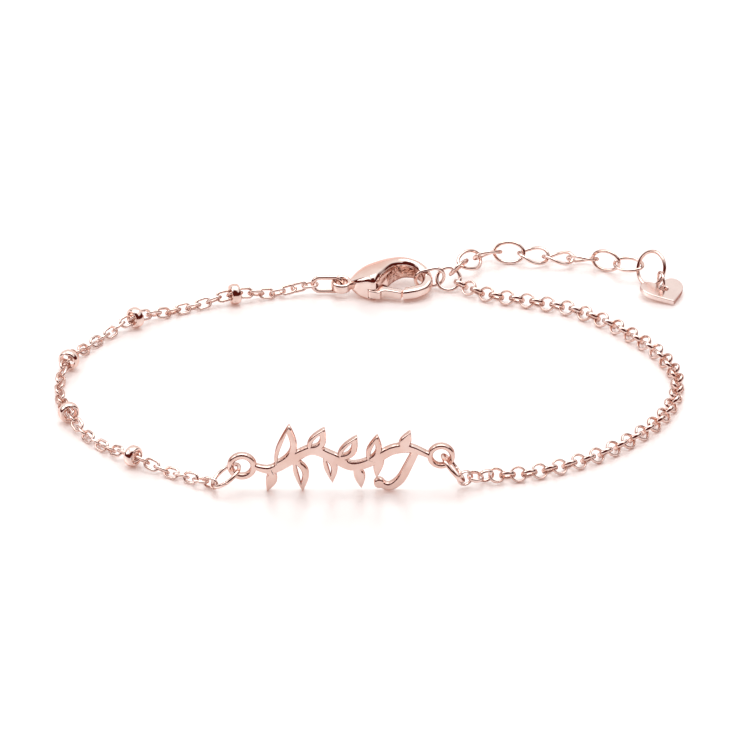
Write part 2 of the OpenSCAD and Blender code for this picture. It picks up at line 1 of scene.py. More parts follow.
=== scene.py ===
"""Looks of the vine plate bracelet in polished rose gold, on a glossy pale floor.

Lengths in this file are millimetres until a mesh is made, which is in metres.
"""

import math

import bpy
import numpy as np
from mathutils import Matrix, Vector


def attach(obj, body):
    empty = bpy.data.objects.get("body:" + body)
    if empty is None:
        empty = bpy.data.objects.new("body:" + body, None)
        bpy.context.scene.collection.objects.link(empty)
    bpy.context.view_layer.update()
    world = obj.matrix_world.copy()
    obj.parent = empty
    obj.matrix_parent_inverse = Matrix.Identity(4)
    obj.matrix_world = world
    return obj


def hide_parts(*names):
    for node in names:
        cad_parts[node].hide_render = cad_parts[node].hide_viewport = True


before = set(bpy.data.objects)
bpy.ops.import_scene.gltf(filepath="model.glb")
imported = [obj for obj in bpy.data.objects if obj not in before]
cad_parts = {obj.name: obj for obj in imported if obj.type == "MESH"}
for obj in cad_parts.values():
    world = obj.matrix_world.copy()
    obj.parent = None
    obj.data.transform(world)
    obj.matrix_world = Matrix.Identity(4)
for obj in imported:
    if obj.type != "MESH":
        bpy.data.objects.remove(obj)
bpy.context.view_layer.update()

MM = 0.001
METAL_BODY = "bracelet"
LEVER_BODY = "lever"


# Meshes
def quads(n, m, close_n=False, close_m=True):
    """Four-cornered faces of an n by m grid of points, joined round in either direction."""
    i = np.arange(n if close_n else n - 1)[:, None]
    j = np.arange(m if close_m else m - 1)[None, :]
    a = i * m + j
    b = i * m + (j + 1) % m
    c = ((i + 1) % n) * m + (j + 1) % m
    d = ((i + 1) % n) * m + j
    return np.stack([a, b, c, d], -1).reshape(-1, 4)


def new_mesh(name, points, faces):
    """A mesh in metres from points in millimetres and a list of arrays of faces."""
    mesh = bpy.data.meshes.new(name)
    rows = [face for part in faces for face in part.tolist()]
    mesh.from_pydata((np.asarray(points, float) * MM).tolist(), [], rows)
    return mesh


def new_piece(name, points, faces, material, body=METAL_BODY, normals=None):
    """A mesh piece from points in millimetres and arrays of faces, smooth, riding on a body."""
    mesh = new_mesh(name, points, faces)
    mesh.validate()
    mesh.polygons.foreach_set("use_smooth", np.ones(len(mesh.polygons), bool))
    if normals is not None:
        mesh.normals_split_custom_set_from_vertices(np.asarray(normals, float).tolist())
    mesh.materials.append(material)
    mesh.update()
    piece = bpy.data.objects.new(name, mesh)
    bpy.context.scene.collection.objects.link(piece)
    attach(piece, body)
    return piece


def repeat_faces(faces, points_each, copies):
    """Faces of one part, repeated for a number of equal parts one after the other."""
    shift = (np.arange(copies) * points_each)[:, None, None]
    return (faces[None] + shift).reshape(-1, faces.shape[1])


def cad_triangles(node):
    """Corner points of a CAD node's triangles in millimetres, as an array of n by 3 by 3."""
    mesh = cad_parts[node].data
    mesh.calc_loop_triangles()
    co = np.empty(len(mesh.vertices) * 3)
    mesh.vertices.foreach_get("co", co)
    tri = np.empty(len(mesh.loop_triangles) * 3, np.int64)
    mesh.loop_triangles.foreach_get("vertices", tri)
    return co.reshape(-1, 3)[tri].reshape(-1, 3, 3) / MM


def welded(tri):
    """Points that triangles share, and the triangles as rows of their numbers."""
    key, index = np.unique(np.round(tri.reshape(-1, 3), 4), axis=0, return_inverse=True)
    return key, index.reshape(-1, 3)


def link_places(node):
    """Centre and axes of each loose link of a node, by the second moments of its surface.

    A triangle adds area / 12 (aa + bb + cc + ss), with s the sum of its corners. The axes are
    the rows of a matrix: the long one, the middle one, and the link's own normal.
    """
    tri = cad_triangles(node)
    points, rows = welded(tri)
    label = np.arange(len(points))
    while True:
        low = label[rows].min(1)
        fresh = label.copy()
        np.minimum.at(fresh, rows, low[:, None])
        fresh = fresh[fresh]
        if (fresh == label).all():
            break
        label = fresh
    _, part = np.unique(label[rows[:, 0]], return_inverse=True)
    count = part.max() + 1
    area = np.linalg.norm(np.cross(tri[:, 1] - tri[:, 0], tri[:, 2] - tri[:, 0]), axis=1) / 2
    total = np.bincount(part, area, count)
    middle = tri.mean(1)
    centre = np.stack([np.bincount(part, area * middle[:, k], count) for k in range(3)], 1) / total[:, None]
    near = tri - centre[part][:, None]
    s = near.sum(1)
    moment = np.einsum("nij,nik->njk", near, near) + s[:, :, None] * s[:, None, :]
    spread = np.zeros((count, 3, 3))
    np.add.at(spread, part, moment * (area / 12)[:, None, None])
    _, axes = np.linalg.eigh(spread / total[:, None, None])
    axes = np.swapaxes(axes, 1, 2)[:, ::-1]
    axes[:, 2] = np.cross(axes[:, 0], axes[:, 1])
    half = np.zeros(count)
    np.maximum.at(half, part, np.abs(np.einsum("nij,nj->ni", near, axes[part, 0])).max(1))
    return centre, axes, half


def placed(shape, centre, axes):
    """Copies of a shape's points, one for each centre and set of axes."""
    flat = shape.reshape(-1, 3)
    return (centre[:, None] + np.einsum("pk,nkj->npj", flat, axes)).reshape(-1, 3)


# Shapes
def ring_section(half_t, half_b, sides, power=2.0):
    """A wire's section as offsets outwards and sideways, on a superellipse of given power."""
    a = np.arange(sides) * 2 * np.pi / sides
    c, s = np.cos(a), np.sin(a)
    outwards = np.sign(c) * np.abs(c) ** (2 / power) * half_t
    sideways = np.sign(s) * np.abs(s) ** (2 / power) * half_b
    return np.stack([outwards, sideways], 1)


def stadium(length, width, section, stations):
    """A link with two straight sides: its line runs half circles of radius r round two centres.

    A station's angle a gives the outward direction (cos a, sin a); its centre is moved along x
    by half the straight length, to the side that cos a points to.
    """
    wire = np.abs(section[:, 0]).max()
    r = width / 2 - wire
    a = (np.arange(stations) + 0.5) * 2 * np.pi / stations
    out = np.stack([np.cos(a), np.sin(a), np.zeros(stations)], 1)
    line = r * out + np.stack([np.sign(np.cos(a)) * (length - width) / 2, 0 * a, 0 * a], 1)
    return line[:, None] + out[:, None] * section[None, :, :1] + np.array([0, 0, 1.0]) * section[None, :, 1:]


def unit(v):
    """Vectors made one long."""
    return v / np.linalg.norm(v, axis=-1, keepdims=True)


def swept(line, up, section):
    """A section carried round a closed line, with its second direction as near to up as it goes."""
    ahead = unit(np.roll(line, -1, 0) - np.roll(line, 1, 0))
    side = unit(np.cross(up, ahead))
    lift = np.cross(ahead, side)
    return line[:, None] + side[:, None] * section[None, :, :1] + lift[:, None] * section[None, :, 1:]


def link_node(node, name, shape):
    """Replaces a chain node by finer links in the same places."""
    centre, axes, _ = link_places(node)
    n, m = shape.shape[:2]
    faces = repeat_faces(quads(n, m, True, True)[:, ::-1], n * m, len(centre))
    piece = new_piece(name, placed(shape, centre, axes), [faces], wire_finish)
    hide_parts(node)


def split_ring(node, name, wire, cut_at, gap=0.05, stations=72, sides=14):
    """A ring of round wire on the circle (r cos a, r sin a), cut square at one angle.

    The cut leaves a gap, given in millimetres, with a flat face on each end.
    """
    centre, axes, half = link_places(node)
    r = half[0] - wire / 2
    a = math.radians(cut_at) + np.linspace(gap / r / 2, 2 * np.pi - gap / r / 2, stations)
    line = np.stack([r * np.cos(a), r * np.sin(a), 0 * a], 1)
    out = line / r
    section = ring_section(wire / 2, wire / 2, sides)
    body = line[:, None] + out[:, None] * section[None, :, :1] + np.array([0, 0, 1.0]) * section[None, :, 1:]
    round_end = np.arange(sides)
    ends = np.array([round_end, (stations - 1) * sides + round_end[::-1]])
    faces = [quads(stations, sides, False, True)[:, ::-1], ends]
    piece = new_piece(name, placed(body, centre, axes), faces, wire_finish)
    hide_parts(node)


# Points of a flat piece less far apart than this, in millimetres, count as the same depth
SAME_DEPTH = 0.02
# The share of a stroke's width that a rounded edge may take, and the rounds that even it out
EDGE_SHARE, EDGE_ROUNDS = 0.44, 6
# The least that the divisor of a mitre becomes, so that a sharp corner doesn't fly out
LEAST_MITRE = 0.45


def width_inside(points, out):
    """From each outline point, the least distance inwards to a point of the outline facing it.

    Such a point lies inwards, is aside by less than half of that distance, and its own outward
    direction runs the other way.
    """
    span = points[None] - points[:, None]
    inwards = -np.einsum("ijk,ik->ij", span, out)
    aside = np.sqrt(np.maximum((span ** 2).sum(2) - inwards ** 2, 0))
    facing_it = (inwards > SAME_DEPTH) & (aside < 0.5 * inwards) & (out @ out.T < -0.2)
    return np.where(facing_it, inwards, np.inf).min(1)


def rounded_flat(node, name, toward, bevel, material, steps=6):
    """Replaces a flat pierced node by the same shape with rounded edges.

    The outline is every directed edge of a front triangle whose reverse is in no other. A point
    of it moves by b (cos q - 1) along its outward direction o and by b (sin q - 1) along the
    facing direction f, for q from 90 to 0 degrees, and its normal is cos q o + sin q f. Where the
    outline's other side is near, b is less than the bevel: a share of the way across.
    """
    tri = cad_triangles(node)
    points, rows = welded(tri)
    facing = link_places(node)[1][0, 2]
    facing = facing * np.sign(facing @ np.asarray(toward, float))
    normal = np.cross(tri[:, 1] - tri[:, 0], tri[:, 2] - tri[:, 0])
    normal = normal / np.maximum(np.linalg.norm(normal, axis=1, keepdims=True), 1e-12)
    depth = points @ facing
    front = rows[(normal @ facing > 0.99) & (depth[rows].min(1) > depth.max() - SAME_DEPTH)]
    total = len(points)
    edge = np.concatenate([front[:, [0, 1]], front[:, [1, 2]], front[:, [2, 0]]])
    border = edge[~np.isin(edge[:, 0] * total + edge[:, 1], edge[:, 1] * total + edge[:, 0])]
    after, before = np.zeros(total, int), np.zeros(total, int)
    after[border[:, 0]] = border[:, 1]
    before[border[:, 1]] = border[:, 0]
    rim = np.unique(border[:, 0])
    here, ahead, behind = points[rim], points[after[rim]], points[before[rim]]
    one = np.cross(unit(here - behind), facing)
    two = np.cross(unit(ahead - here), facing)
    out = (one + two) / np.maximum(1 + (one * two).sum(1), LEAST_MITRE)[:, None]
    thick = depth.max() - depth.min()
    b = np.minimum(bevel, EDGE_SHARE * width_inside(here, unit(out)))
    number = np.full(total, -1)
    number[rim] = np.arange(len(rim))
    for _ in range(EDGE_ROUNDS):
        b = np.minimum(b, (b + b[number[after[rim]]] + b[number[before[rim]]]) / 3)
    b = b[:, None]
    q = np.linspace(np.pi / 2, 0, steps + 1)[None]
    sink = np.concatenate([b * (1 - np.sin(q)), thick - b * (1 - np.sin(q[:, ::-1]))], 1)
    inset = np.concatenate([b * (1 - np.cos(q)), b * (1 - np.cos(q[:, ::-1]))], 1)
    q = q[0]
    lean = np.concatenate([np.sin(q), -np.sin(q[::-1])])
    wall = here[:, None] - out[:, None] * inset[:, :, None] - facing * sink[:, :, None]
    sideways = np.sqrt(np.maximum(1 - lean ** 2, 0))
    tilt = unit(out)[:, None] * sideways[None, :, None] + facing * lean[None, :, None]
    m = 2 * (steps + 1)
    inner = np.setdiff1d(np.unique(front), rim)
    flat_front = number * m
    flat_back = number * m + m - 1
    flat_front[inner] = len(rim) * m + np.arange(len(inner))
    flat_back[inner] = len(rim) * m + len(inner) + np.arange(len(inner))
    k = np.arange(m - 1)[None, :]
    i = np.arange(len(rim))[:, None] * m
    j = number[after[rim]][:, None] * m
    side = np.stack([i + k, i + k + 1, j + k + 1, j + k], -1).reshape(-1, 4)
    all_points = np.concatenate([wall.reshape(-1, 3), points[inner], points[inner] - facing * thick])
    straight_out = np.tile(facing, (len(inner), 1))
    all_normals = np.concatenate([tilt.reshape(-1, 3), straight_out, -straight_out])
    faces = [side, flat_front[front], flat_back[front][:, ::-1]]
    piece = new_piece(name, all_points, faces, material, normals=all_normals)
    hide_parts(node)


def between(a, b, c, d, steps):
    """Places from b on towards c, on a cubic with slope (c - a) / 2 at b and (d - b) / 2 at c."""
    t = (np.arange(steps) / steps)[None, :, None]
    run = (c - a) * t / 2
    bend = (2 * a - 5 * b + 4 * c - d) * t ** 2 / 2
    change = (3 * b - a - 3 * c + d) * t ** 3 / 2
    return b + run + bend + change


def open_curve(rows, steps):
    """Rows on the cubic curve through given rows, with a number of steps between each two."""
    p = np.concatenate([rows[:1], rows, rows[-1:]])
    body = between(p[:-3, None], p[1:-2, None], p[2:-1, None], p[3:, None], steps)
    return np.concatenate([body.reshape(-1, rows.shape[1]), rows[-1:]])


def closed_curve(rows, steps):
    """Rows on the closed cubic curve through given rows, with steps between each two."""
    a, b, c, d = (np.roll(rows, k, 0)[:, None] for k in (1, 0, -1, -2))
    return between(a, b, c, d, steps).reshape(-1, rows.shape[1])


def about(axis, degrees):
    """The matrix of a turn about the x (0), y (1) or z (2) axis."""
    angle = math.radians(degrees)
    i, j = (axis + 1) % 3, (axis + 2) % 3
    turn = np.eye(3)
    turn[i, i] = turn[j, j] = math.cos(angle)
    turn[i, j] = -math.sin(angle)
    turn[j, i] = math.sin(angle)
    return turn


def revolved(x, r, around):
    """A grid of points of a profile (x, r) turned about the x axis."""
    a = np.arange(around) * 2 * np.pi / around
    return np.stack(np.broadcast_arrays(
        x[None], r[None] * np.cos(a)[:, None], r[None] * np.sin(a)[:, None]), -1)


def rondelle(width, outer, hole, around=48, sides=18):
    """A ring bead on a straight bore, turned about its long axis.

    Its wall stands out from the bore by its thickness times (1 - |q| ^ 2.2) ^ 0.45, for q from
    -1 to 1 along the bore.
    """
    q = np.linspace(-1, 1, sides)
    r = hole / 2 + (outer - hole) / 2 * np.maximum(1 - np.abs(q) ** 2.2, 0) ** 0.45
    x = q * width / 2
    bore = np.linspace(1, -1, 4)[1:-1]
    x = np.concatenate([x, bore * width / 2])
    r = np.concatenate([r, np.full(2, hole / 2)])
    return revolved(x, r, around)


def twisted_link(start, end, roll, twist, length=3.5, width=2.5, wire=0.34, stations=64, sides=14):
    """A curb link: the ellipse (a cos t, b sin t) whose plane turns about x by twist cos t."""
    t = np.arange(stations) * 2 * np.pi / stations
    a, b = (length - wire) / 2, (width - wire) / 2
    turn = np.radians(twist) * np.cos(t)
    line = np.stack([a * np.cos(t), b * np.sin(t) * np.cos(turn), b * np.sin(t) * np.sin(turn)], 1)
    up = np.stack([0 * t, -np.sin(turn), np.cos(turn)], 1)
    tube = swept(line, up, ring_section(wire / 2, wire / 2, sides))
    run = end - start
    pitch = -math.degrees(math.asin(run[2] / np.linalg.norm(run)))
    yaw = math.degrees(math.atan2(run[1], run[0]))
    lay = about(2, yaw) @ about(1, pitch) @ about(0, roll)
    return tube.reshape(-1, 3) @ lay.T + (start + end) / 2, (stations, sides)


def flat_points(xy, height):
    """Points of a flat outline at one height."""
    return np.column_stack([xy, np.full(len(xy), height)])


def loop_plate(outline, half, bevel, steps=7):
    """A flat piece with rounded edges from a closed outline that its first point can see whole.

    Rows of the outline go inwards by bevel (1 - cos q) and to a height of half - bevel (1 - sin q).
    """
    ahead = unit(np.roll(outline, -1, 0) - np.roll(outline, 1, 0))
    out = np.stack([ahead[:, 1], -ahead[:, 0]], 1)
    q = np.linspace(np.pi / 2, 0, steps)
    inset = np.concatenate([bevel * (1 - np.cos(q)), bevel * (1 - np.cos(q[::-1]))])
    height = np.concatenate([half - bevel * (1 - np.sin(q)), -half + bevel * (1 - np.sin(q[::-1]))])
    grid = outline[:, None] - out[:, None] * inset[None, :, None]
    z = np.broadcast_to(height[None, :, None], (len(outline), len(height), 1))
    points = np.concatenate([np.concatenate([grid, z], -1).reshape(-1, 3), [[0, 0, half], [0, 0, -half]]])
    n, m = len(outline), len(height)
    i = np.arange(n)
    top = np.stack([0 * i + n * m, i * m, (i + 1) % n * m], 1)
    under = np.stack([0 * i + n * m + 1, (i + 1) % n * m + m - 1, i * m + m - 1], 1)
    return points, [quads(n, m, True, False), top, under]


def cut_out(piece, points, faces):
    """Takes a closed shape out of a piece and keeps the result as the piece's own mesh."""
    mesh = new_mesh("cutter", points, faces)
    cutter = bpy.data.objects.new("cutter", mesh)
    bpy.context.scene.collection.objects.link(cutter)
    cut = piece.modifiers.new("cut", "BOOLEAN")
    cut.object, cut.operation, cut.solver = cutter, "DIFFERENCE", "EXACT"
    whole = bpy.data.meshes.new_from_object(piece.evaluated_get(bpy.context.evaluated_depsgraph_get()))
    piece.modifiers.remove(cut)
    piece.data = whole
    bpy.data.objects.remove(cutter)
    bpy.data.meshes.remove(mesh)


def pin(node, name, dome=0.07, around=40):
    """A pin turned about its long axis, with low domed heads: r = R cos q, x = end - dome (1 - sin q)."""
    centre, axes, _ = link_places(node)
    tri = cad_triangles(node).reshape(-1, 3) - centre[0]
    along = tri @ axes[0, 0]
    radius = np.linalg.norm(tri - along[:, None] * axes[0, 0], axis=1).max()
    end = along.max()
    q = np.linspace(np.pi / 2, 0, 7)
    x = np.concatenate([-end + dome * (1 - np.sin(q)), end - dome * (1 - np.sin(q[::-1]))])
    r = np.concatenate([np.cos(q), np.cos(q[::-1])]) * radius
    grid = revolved(x[1:-1], r[1:-1], around)
    m = len(x) - 2
    points = np.concatenate([grid.reshape(-1, 3), [[-end, 0, 0], [end, 0, 0]]])
    i = np.arange(around)
    low, high = around * m, around * m + 1
    caps = [np.stack([0 * i + low, (i + 1) % around * m, i * m], 1),
            np.stack([0 * i + high, i * m + m - 1, (i + 1) % around * m + m - 1], 1)]
    faces = [quads(around, m, True, False)[:, ::-1], *caps]
    piece = new_piece(name, placed(points, centre, axes), faces, polished)
    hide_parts(node)


# Finishes
def add(tree, kind, x, y, **values):
    """A node at a place in a node tree, with its settings."""
    node = tree.nodes.new(kind)
    node.location = (x, y)
    for key, value in values.items():
        setattr(node, key, value)
    return node


CLOUDS_PER_METRE = 420.0


def plating_group():
    """Slow clouding, fine polishing lines and their height, from a place on the piece."""
    group = bpy.data.node_groups.new("plating", "ShaderNodeTree")
    for label, kind, default in (
            ("Place", "NodeSocketVector", None), ("Smoothest", "NodeSocketFloat", 0.05),
            ("Roughest", "NodeSocketFloat", 0.12), ("Line Density", "NodeSocketFloat", 900.0)):
        socket = group.interface.new_socket(name=label, in_out="INPUT", socket_type=kind)
        if default is not None:
            socket.default_value = default
    for label in ("Cloud", "Roughness", "Height"):
        group.interface.new_socket(name=label, in_out="OUTPUT", socket_type="NodeSocketFloat")
    start = add(group, "NodeGroupInput", -900, 0)
    end = add(group, "NodeGroupOutput", 700, 0)
    cloud = add(group, "ShaderNodeTexNoise", -600, 220)
    cloud.inputs["Scale"].default_value = CLOUDS_PER_METRE
    cloud.inputs["Detail"].default_value = 3.0
    group.links.new(start.outputs["Place"], cloud.inputs["Vector"])
    shade = add(group, "ShaderNodeMapRange", -380, 220, interpolation_type="SMOOTHSTEP")
    shade.inputs["From Min"].default_value = 0.35
    shade.inputs["From Max"].default_value = 0.65
    group.links.new(cloud.outputs["Fac"], shade.inputs["Value"])
    stretch = add(group, "ShaderNodeMapping", -680, -120)
    stretch.inputs["Scale"].default_value = (1.0, 0.12, 1.0)
    stretch.inputs["Rotation"].default_value = (0.4, 0.2, 0.7)
    group.links.new(start.outputs["Place"], stretch.inputs["Vector"])
    lines = add(group, "ShaderNodeTexNoise", -480, -120)
    lines.inputs["Detail"].default_value = 2.0
    group.links.new(stretch.outputs["Vector"], lines.inputs["Vector"])
    group.links.new(start.outputs["Line Density"], lines.inputs["Scale"])
    rough = add(group, "ShaderNodeMix", 100, 60, data_type="FLOAT")
    group.links.new(start.outputs["Smoothest"], rough.inputs["A"])
    group.links.new(start.outputs["Roughest"], rough.inputs["B"])
    both = add(group, "ShaderNodeMath", -120, 60, operation="MULTIPLY_ADD")
    both.inputs[1].default_value = 0.5
    half = add(group, "ShaderNodeMath", -300, 0, operation="MULTIPLY")
    half.inputs[1].default_value = 0.5
    group.links.new(lines.outputs["Fac"], half.inputs[0])
    group.links.new(shade.outputs["Result"], both.inputs[0])
    group.links.new(half.outputs["Value"], both.inputs[2])
    group.links.new(both.outputs["Value"], rough.inputs["Factor"])
    group.links.new(shade.outputs["Result"], end.inputs["Cloud"])
    group.links.new(rough.outputs["Result"], end.inputs["Roughness"])
    group.links.new(lines.outputs["Fac"], end.inputs["Height"])
    return group


PLATING = plating_group()


def rose_metal(name, light, deep, smooth, density, relief, edge=(0.3, 0.09, 0.06), depth=0.01):
    """Rose gold plating: two tones clouded together, fine polishing lines, and an edge tone.

    smooth gives the least and the greatest roughness, density the lines in a metre, and relief
    the share of depth, in millimetres, that the lines stand out by.
    """
    material = bpy.data.materials.new(name)
    material.use_nodes = True
    tree = material.node_tree
    shader = tree.nodes["Principled BSDF"]
    shader.inputs["Metallic"].default_value = 1.0
    shader.inputs["Specular Tint"].default_value = (*edge, 1)
    place = add(tree, "ShaderNodeTexCoord", -900, 0)
    plating = add(tree, "ShaderNodeGroup", -680, 0, node_tree=PLATING)
    plating.inputs["Smoothest"].default_value = smooth[0]
    plating.inputs["Roughest"].default_value = smooth[1]
    plating.inputs["Line Density"].default_value = density
    tree.links.new(place.outputs["Object"], plating.inputs["Place"])
    tone = add(tree, "ShaderNodeMix", -420, 160, data_type="RGBA")
    tone.inputs["A"].default_value = (*light, 1)
    tone.inputs["B"].default_value = (*deep, 1)
    tree.links.new(plating.outputs["Cloud"], tone.inputs["Factor"])
    tree.links.new(tone.outputs["Result"], shader.inputs["Base Color"])
    tree.links.new(plating.outputs["Roughness"], shader.inputs["Roughness"])
    bump = add(tree, "ShaderNodeBump", -240, -200)
    bump.inputs["Strength"].default_value = relief
    bump.inputs["Distance"].default_value = depth * MM
    tree.links.new(plating.outputs["Height"], bump.inputs["Height"])
    tree.links.new(bump.outputs["Normal"], shader.inputs["Normal"])
    return material


polished = rose_metal(
    "rose gold polished", (0.93, 0.77, 0.71), (0.87, 0.68, 0.61), smooth=(0.03, 0.08), density=900.0,
    relief=0.12, edge=(0.85, 0.6, 0.54))
# Inside the bow: a coarse grain in the bump, and colour clouded from near-white painted highlights to dark
# red-brown painted shade, standing in for the reflections in the hollow
grain_and_painted_reflection = rose_metal(
    "rose gold grain with painted reflections", (0.96, 0.8, 0.74), (0.62, 0.32, 0.23), smooth=(0.05, 0.12), density=2000.0,
    relief=1.0, depth=0.3)
wire_finish = rose_metal(
    "rose gold wire", (0.94, 0.77, 0.71), (0.86, 0.63, 0.55), smooth=(0.02, 0.06), density=1600.0, relief=0.1)
satin = rose_metal(
    "rose gold satin face", (0.95, 0.75, 0.68), (0.88, 0.65, 0.57), smooth=(0.07, 0.14), density=1400.0,
    relief=0.2)
pale_satin = rose_metal(
    "rose gold pale satin", (0.95, 0.8, 0.75), (0.91, 0.75, 0.7), smooth=(0.14, 0.24), density=1400.0,
    relief=0.2)

# Plate and tag
PLATE_BEVEL, TAG_BEVEL = 0.25, 0.1
rounded_flat("nameplate", "vine_plate", (0, -1, 0), PLATE_BEVEL, satin)
rounded_flat("heart_tag", "heart_charm", (0, 0, 1), TAG_BEVEL, pale_satin)

# Rings and links
# Node, piece, wire and the angle at which the ring is cut
RINGS = [
    ("jump_ring_left", "plate_ring_left", 0.4, 200), ("jump_ring_right", "plate_ring_right", 0.4, 150),
    ("junction_ring", "side_ring", 0.36, 70), ("end_ring", "extender_end_ring", 0.36, 30),
    ("tag_ring", "charm_ring", 0.26, 80)]
# Node, piece, a link's length and width, half its wire's thickness and half its breadth, the
# wire's sides and the stations round the link
LINKS = [
    ("satellite_chain", "cable_links", 1.85, 1.28, 0.14, 0.14, 10, 28),
    ("rolo_chain", "rolo_links", 1.7, 1.7, 0.11, 0.21, 12, 30),
    ("clasp_connector_ring", "oval_ring", 3.5, 2.0, 0.21, 0.21, 16, 64),
    ("hook_link", "hook_ring", 3.4, 2.3, 0.18, 0.18, 16, 64)]
for node, name, wire, cut_at in RINGS:
    split_ring(node, name, wire, cut_at)
for node, name, length, width, half_t, half_b, sides, stations in LINKS:
    link_node(node, name, stadium(length, width, ring_section(half_t, half_b, sides), stations))

BEAD_WIDTH, BEAD_OUTER, BEAD_HOLE = 1.05, 2.15, 1.52
bead_shape = rondelle(BEAD_WIDTH, BEAD_OUTER, BEAD_HOLE)
bead_faces = quads(*bead_shape.shape[:2], True, True)[:, ::-1]
for k in range(1, 6):
    centre, axes, _ = link_places(f"satellite_bead_{k}")
    spin = axes[:, [2, 0, 1]]
    bead = new_piece(f"ring_bead_{k}", placed(bead_shape, centre, spin), [bead_faces], polished)
    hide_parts(f"satellite_bead_{k}")

# Where the extender's links join, and each link's roll and twist, as the source has them
EXT_ROUTE = np.array([
    [9.04, 21.41, 2.05], [9.9, 23.8, 1.38], [11.5, 25.8, 1.35], [13.6, 27.2, 1.15],
    [16.1, 27, 1.1], [18.7, 26.6, 0.9], [21.3, 26.2, 0.9], [23.84, 25.59, 1.12],
    [26.14, 24.28, 1.45], [28.54, 22.96, 1.57]])
EXT_LAY = [(130, 3), (34, 18), (-34, 14), (62, 8), (16, 34), (-3, 34), (-33, 16), (87, 4), (11, -3)]
for k, (roll, twist) in enumerate(EXT_LAY):
    points, (n, m) = twisted_link(EXT_ROUTE[k], EXT_ROUTE[k + 1], roll, twist)
    link = new_piece(f"curb_link_{k + 1}", points, [quads(n, m, True, True)], wire_finish)
    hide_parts(f"extender_link_{k + 1}")

# Clasp
CLASP_AT = np.array([-2.78, 19.7, 1.17])
CLASP_LEAN, CLASP_YAW = 10, 8
CLASP_L, CLASP_W, CLASP_H, EYE_D, EYE_HOLE, EYE_T = 8.6, 6.4, 2.2, 2.2, 1.1, 1.04
# Outer x and y, inner x and y, half height: shares of the clasp's length, width and height;
# then how far the top is levelled against the lean, the power of its outer curve, and the
# radius of the rim in millimetres
CLASP_RIBS = np.array([
    [0.000, 0.078, 0.000, -0.078, 0.21, 0.0, 2.2, 0.45], [0.060, 0.180, 0.065, -0.175, 0.355, 0.3, 2.1, 0.5],
    [0.135, 0.303, 0.165, -0.275, 0.45, 0.7, 2.0, 0.6], [0.240, 0.422, 0.245, -0.345, 0.50, 0.9, 2.0, 0.85],
    [0.355, 0.495, 0.308, -0.300, 0.50, 1.0, 2.0, 1.0], [0.460, 0.532, 0.435, -0.055, 0.485, 1.0, 2.0, 0.75],
    [0.565, 0.541, 0.545, 0.117, 0.465, 1.0, 2.0, 0.6], [0.670, 0.526, 0.655, 0.195, 0.435, 1.0, 2.0, 0.6],
    [0.775, 0.475, 0.745, 0.180, 0.40, 0.9, 2.1, 0.6], [0.880, 0.367, 0.815, 0.117, 0.36, 0.7, 2.3, 0.6],
    [0.962, 0.205, 0.860, 0.023, 0.32, 0.4, 2.6, 0.6], [1.003, 0.016, 0.875, -0.055, 0.295, 0.2, 3.0, 0.6],
    [0.990, -0.172, 0.865, -0.133, 0.29, 0.1, 3.4, 0.6], [0.920, -0.328, 0.825, -0.203, 0.30, 0.0, 3.8, 0.6],
    [0.800, -0.422, 0.760, -0.250, 0.32, 0.0, 4.0, 0.6], [0.690, -0.456, 0.705, -0.268, 0.32, 0.0, 4.0, 0.6],
    [0.594, -0.465, 0.654, -0.275, 0.31, 0.0, 4.0, 0.6]])
# From the eye's middle to the body, the lever's pivot, and the y up to which the top is levelled
NECK = 0.42 * EYE_D
PIVOT = np.array([NECK + 0.25 * CLASP_L, -0.156 * CLASP_W])
LEVEL_FROM = 2.7
# How far the wall below the rim runs inwards, and how far the top rises there
SLANT, RISE = 0.25, 0.2
# How far the under side stays above the floor, and the steps between two ribs
FLOOR_GAP, RIB_STEPS = 0.02, 8
# Points of a section on its dome, rim, wall, foot and under side
DOME, ROLL, WALL, FOOT, UNDER = 22, 10, 7, 8, 18


def clasp_place(points):
    """Points of the level clasp, leaned about x, yawed about z and moved to its place."""
    return points @ (about(2, CLASP_YAW) @ about(0, CLASP_LEAN)).T + CLASP_AT


